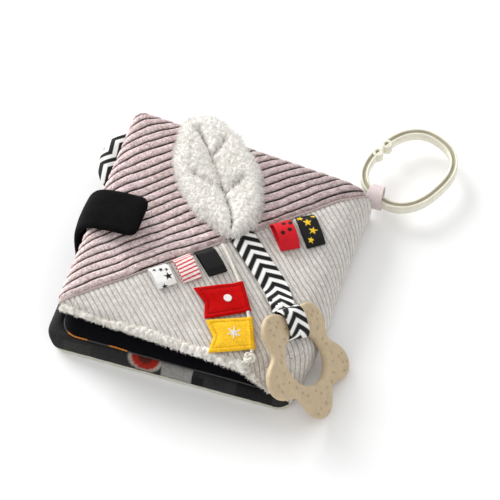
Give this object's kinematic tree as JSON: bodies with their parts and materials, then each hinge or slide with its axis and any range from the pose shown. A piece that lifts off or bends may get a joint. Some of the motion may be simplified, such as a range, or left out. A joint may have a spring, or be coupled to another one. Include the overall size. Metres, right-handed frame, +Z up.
{
  "type": "soft book",
  "caption": "Soft square fabric book for a baby, with padded covers and pages, ribbon tags, felt pennants, a sewn leaf, a teething ring on a strap and an open link ring.",
  "frame": {"origin": "middle of the square between the covers' edges, on the underside of the back cover", "axes": "+Z up from the table, +X towards the spine, +Y towards the head of the book, where the link ring hangs"},
  "size_m": [0.2181, 0.2419, 0.058],
  "materials": {
    "pale_cloth": "plain woven cotton",
    "wadding": "soft polyester wadding",
    "charcoal_print": "charcoal cloth with plain printed shapes",
    "black_velvet": "short velvet pile",
    "narrow_corduroy": "pale grey narrow corduroy",
    "wide_corduroy": "mauve wide corduroy",
    "pink_ribbon": "pale satin ribbon",
    "chevron_ribbon": "black and white chevron ribbon",
    "black_plush": "short black plush",
    "hook_tape": "hook-and-loop tape",
    "sherpa": "cream sherpa pile",
    "star_ribbon": "cream ribbon with stars",
    "stripe_ribbon": "striped ribbon",
    "black_ribbon": "plain black ribbon",
    "dot_ribbon": "red ribbon with white dots",
    "gold_star_ribbon": "black ribbon with gold stars",
    "cord": "braided white cord",
    "red_felt": "red felt",
    "yellow_felt": "yellow felt",
    "snap_plastic": "white moulded plastic",
    "teether_silicone": "matt beige silicone",
    "cream_plastic": "cream moulded plastic"
  },
  "bodies": {
    "book": {"back_cover_cloth": "pale_cloth", "back_cover_wadding": "wadding", "back_cover_lining": "charcoal_print", "page_block": "black_velvet", "spine_cloth": "narrow_corduroy", "hang_loop": "pink_ribbon", "chevron_tab": "chevron_ribbon", "closure_tab": "black_plush", "closure_hook_patch": "hook_tape"},
    "front_cover": {"cover_wide_corduroy": "wide_corduroy", "cover_narrow_corduroy": "narrow_corduroy", "cover_wadding": "wadding", "cover_lining": "black_velvet", "closure_loop_patch": "hook_tape", "sherpa_leaf": "sherpa", "star_tag": "star_ribbon", "stripe_tag": "stripe_ribbon", "plain_tag": "black_ribbon", "dot_tag": "dot_ribbon", "gold_star_tag": "gold_star_ribbon", "flag_cord": "cord", "cord_knot": "cord", "red_pennant": "red_felt", "yellow_pennant": "yellow_felt", "strap": "chevron_ribbon", "snap_cap": "snap_plastic", "snap_stud": "snap_plastic"},
    "teether": {"teething_ring": "teether_silicone"},
    "ring": {"link_ring": "cream_plastic"}
  },
  "joints": [
    {"name": "cover_hinge", "type": "hinge", "parent": "book", "child": "front_cover", "pos_m": [0.08, 0, 0.023], "axis": [0, 1, 0], "range_deg": [0, 172], "deforming": ["spine_cloth", "closure_tab", "closure_hook_patch"]},
    {"name": "teether_fold", "type": "hinge", "parent": "front_cover", "child": "teether", "pos_m": [0.052, -0.042, 0.0487], "axis": [0, -1, 0], "range_deg": [0, 217], "deforming": ["strap"]},
    {"name": "ring_swing", "type": "hinge", "parent": "book", "child": "ring", "pos_m": [0.0805, 0.086, 0.0115], "axis": [1, 0, 0], "range_deg": [-7, 90]}
  ],
  "couplings": [
    {"joint": "teether_fold", "follows": "cover_hinge", "ratio": 1.258}
  ]
}
